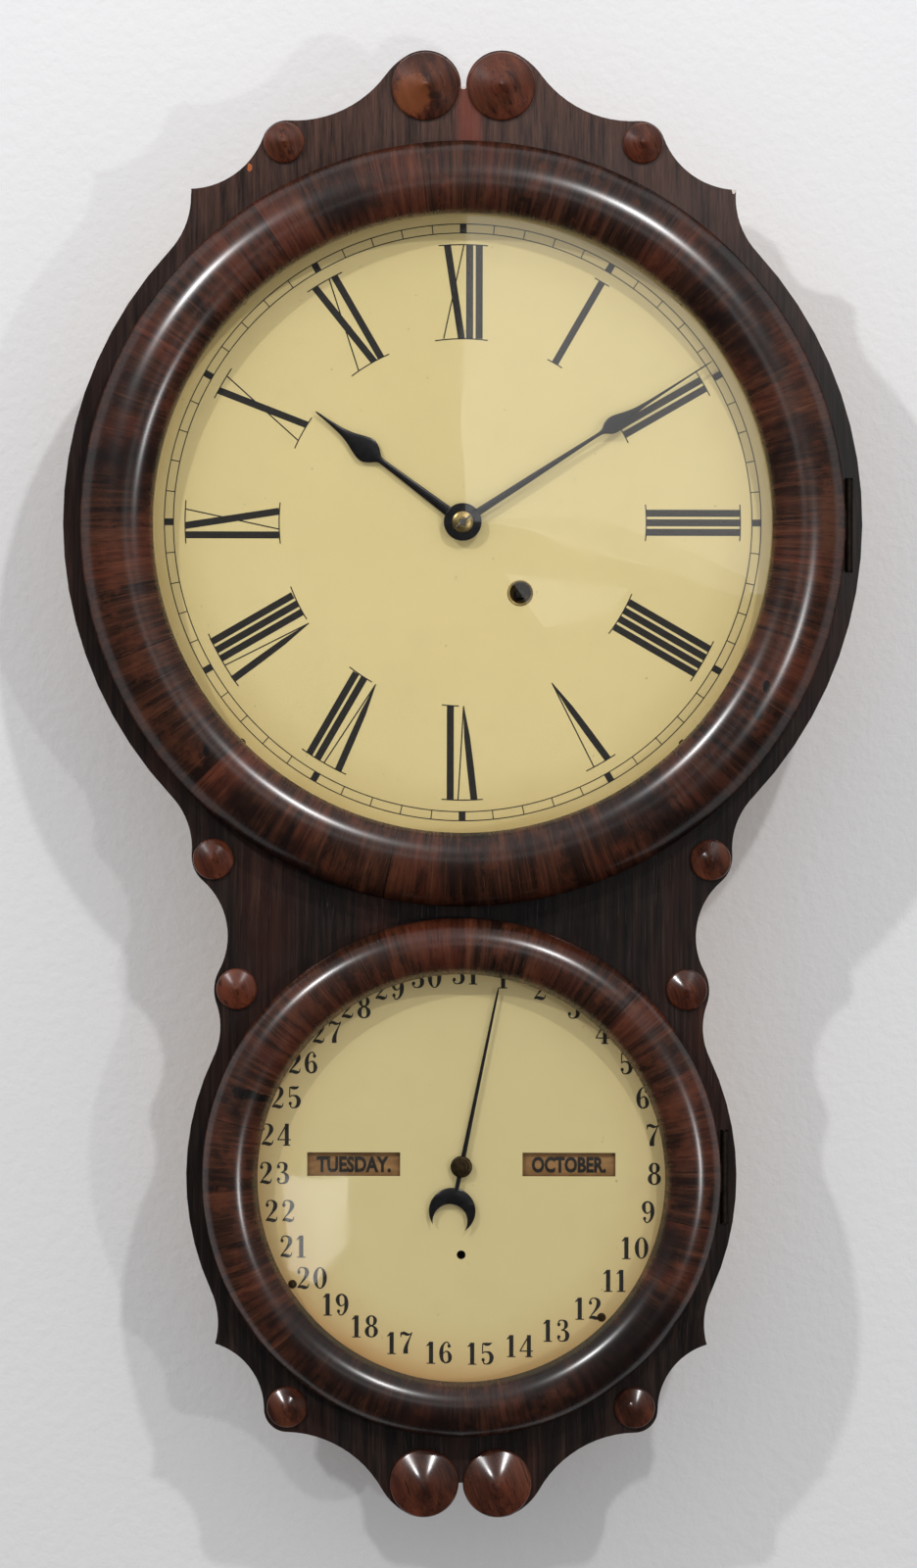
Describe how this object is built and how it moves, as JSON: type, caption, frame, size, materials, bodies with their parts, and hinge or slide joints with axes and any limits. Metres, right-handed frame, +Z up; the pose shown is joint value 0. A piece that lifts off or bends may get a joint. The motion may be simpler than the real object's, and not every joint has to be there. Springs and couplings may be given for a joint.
{
  "type": "calendar clock",
  "caption": "Double-dial perpetual calendar wall clock: figure-eight veneered case, hinged round bezels, spring movement with pendulum, and a roller calendar.",
  "frame": {"origin": "centre of the hanger hole, in the wall plane", "axes": "+Z up, +Y into the wall, so the dials face -Y and +X is to the right of someone facing them"},
  "size_m": [0.398, 0.1153, 0.7303],
  "materials": {
    "veneer": "rosewood veneer under old shellac, satin",
    "turned_rosewood": "turned rosewood, waxed",
    "pine": "bare pine, planed",
    "dial_paint": "aged cream paint on sheet zinc, satin",
    "roller_paper": "printed paper gone brown, matt",
    "brass": "old brass, dull",
    "dark_brass": "brass gone dark, dull",
    "steel": "plain steel",
    "blued_steel": "blued steel, nearly black, satin",
    "glass": "clear window glass",
    "putty": "old glazing putty, matt"
  },
  "bodies": {
    "case": {"front_board": "pine", "front_veneer": "veneer", "box_boards": "pine", "back_board": "pine", "hanger_plate": "brass", "wood_screws": "steel", "large_buttons": "turned_rosewood", "small_buttons": "turned_rosewood", "time_dial": "dial_paint", "winding_grommet": "brass", "calendar_dial": "dial_paint", "dial_screws": "steel", "fixed_hinge_leaves": "dark_brass", "hinge_pins": "steel", "movement_blocks": "pine", "movement_back_plate": "brass", "movement_front_plate": "brass", "movement_pillars": "brass", "mainspring": "steel", "suspension_post": "brass", "calendar_frame": "brass", "calendar_bridge": "brass", "calendar_pillars": "brass", "detent_springs": "steel"},
    "time_door": {"time_bezel": "veneer", "time_glass": "glass", "time_putty": "putty", "time_hinge_leaf": "dark_brass", "time_catch_pin": "brass"},
    "calendar_door": {"calendar_bezel": "veneer", "calendar_glass": "glass", "calendar_putty": "putty", "calendar_hinge_leaf": "dark_brass", "calendar_catch_pin": "brass"},
    "minute_group": {"centre_arbor": "steel", "minute_hand": "blued_steel", "hand_washer": "brass", "hand_pin": "brass"},
    "hour_group": {"hour_wheel": "brass", "hour_hand": "blued_steel"},
    "motion_group": {"motion_wheel": "brass"},
    "half_day_group": {"half_day_wheel": "brass"},
    "centre_train": {"centre_wheel": "brass"},
    "third_train": {"third_wheel": "brass"},
    "escape_train": {"escape_wheel": "brass"},
    "great_train": {"great_wheel": "brass", "click_and_spring": "steel"},
    "winding_group": {"winding_arbor": "steel"},
    "verge_group": {"verge": "steel", "crutch": "brass"},
    "pendulum": {"pendulum_rod": "steel", "pendulum_bob": "brass", "rating_nut": "brass"},
    "date_group": {"date_wheel": "brass", "date_hand": "blued_steel"},
    "day_roller_group": {"day_roller": "roller_paper"},
    "month_roller_group": {"month_roller": "roller_paper"},
    "lift_lever_group": {"lift_lever": "steel"},
    "wire_group": {"calendar_wire": "steel"},
    "calendar_lever_group": {"calendar_lever": "steel"}
  },
  "joints": [
    {"name": "time_bezel_hinge", "type": "hinge", "parent": "case", "child": "time_door", "pos_m": [0.1922, -0.08715, -0.189], "axis": [0, 0, 1], "range_deg": [0, 105]},
    {"name": "calendar_bezel_hinge", "type": "hinge", "parent": "case", "child": "calendar_door", "pos_m": [0.1309, -0.08715, -0.5135], "axis": [0, 0, 1], "range_deg": [0, 105]},
    {"name": "minute_arbor_turn", "type": "hinge", "parent": "case", "child": "minute_group", "pos_m": [0, -0.05, -0.188], "axis": [0, 1, 0], "continuous": true},
    {"name": "hour_pipe_turn", "type": "hinge", "parent": "case", "child": "hour_group", "pos_m": [0, -0.05, -0.188], "axis": [0, 1, 0], "continuous": true},
    {"name": "motion_wheel_turn", "type": "hinge", "parent": "case", "child": "motion_group", "pos_m": [0.01358, -0.05, -0.17442], "axis": [0, 1, 0], "continuous": true},
    {"name": "half_day_wheel_turn", "type": "hinge", "parent": "case", "child": "half_day_group", "pos_m": [-0.01527, -0.05, -0.20327], "axis": [0, 1, 0], "continuous": true},
    {"name": "escape_wheel_turn", "type": "hinge", "parent": "case", "child": "escape_train", "pos_m": [0, -0.05, -0.1509], "axis": [0, 1, 0], "continuous": true},
    {"name": "third_wheel_turn", "type": "hinge", "parent": "case", "child": "third_train", "pos_m": [-0.01401, -0.05, -0.16851], "axis": [0, 1, 0], "continuous": true},
    {"name": "centre_wheel_turn", "type": "hinge", "parent": "case", "child": "centre_train", "pos_m": [0, -0.05, -0.188], "axis": [0, 1, 0], "continuous": true},
    {"name": "great_wheel_turn", "type": "hinge", "parent": "case", "child": "great_train", "pos_m": [0.0287, -0.05, -0.2231], "axis": [0, 1, 0], "continuous": true},
    {"name": "winding_arbor_turn", "type": "hinge", "parent": "case", "child": "winding_group", "pos_m": [0.0287, -0.05, -0.2231], "axis": [0, 1, 0], "continuous": true},
    {"name": "pendulum_swing", "type": "hinge", "parent": "case", "child": "pendulum", "pos_m": [0, -0.05, -0.127], "axis": [0, 1, 0], "range_deg": [-4, 4]},
    {"name": "verge_rock", "type": "hinge", "parent": "case", "child": "verge_group", "pos_m": [0, -0.05, -0.127], "axis": [0, 1, 0], "range_deg": [-4, 4]},
    {"name": "date_hand_turn", "type": "hinge", "parent": "case", "child": "date_group", "pos_m": [0, -0.05, -0.5085], "axis": [0, 1, 0], "continuous": true},
    {"name": "day_roller_turn", "type": "hinge", "parent": "case", "child": "day_roller_group", "pos_m": [-0.0536, -0.0625, -0.5075], "axis": [1, 0, 0], "continuous": true},
    {"name": "month_roller_turn", "type": "hinge", "parent": "case", "child": "month_roller_group", "pos_m": [0.0536, -0.0625, -0.5075], "axis": [1, 0, 0], "continuous": true},
    {"name": "calendar_wire_lift", "type": "slide", "parent": "case", "child": "wire_group", "axis": [0, 0, 1], "range_m": [0, 0.003]},
    {"name": "lift_lever_turn", "type": "hinge", "parent": "case", "child": "lift_lever_group", "pos_m": [-0.03817, -0.05, -0.233], "axis": [0, 1, 0], "range_deg": [0, 8.7]},
    {"name": "calendar_lever_turn", "type": "hinge", "parent": "case", "child": "calendar_lever_group", "pos_m": [-0.03817, -0.05, -0.466], "axis": [0, 1, 0], "range_deg": [0, 8.7]}
  ],
  "couplings": [
    {"joint": "hour_pipe_turn", "follows": "minute_arbor_turn", "ratio": 0.083333},
    {"joint": "motion_wheel_turn", "follows": "minute_arbor_turn", "ratio": -0.33333},
    {"joint": "half_day_wheel_turn", "follows": "minute_arbor_turn", "ratio": -0.041667},
    {"joint": "third_wheel_turn", "follows": "escape_wheel_turn", "ratio": -0.097561},
    {"joint": "centre_wheel_turn", "follows": "escape_wheel_turn", "ratio": 0.01084},
    {"joint": "great_wheel_turn", "follows": "escape_wheel_turn", "ratio": -0.00090334},
    {"joint": "verge_rock", "follows": "pendulum_swing", "ratio": 1},
    {"joint": "day_roller_turn", "follows": "date_hand_turn", "ratio": 4.4286},
    {"joint": "month_roller_turn", "follows": "date_hand_turn", "ratio": 0.083333},
    {"joint": "lift_lever_turn", "follows": "calendar_wire_lift", "rad_per_m": 50.553},
    {"joint": "calendar_lever_turn", "follows": "calendar_wire_lift", "rad_per_m": 50.553}
  ]
}
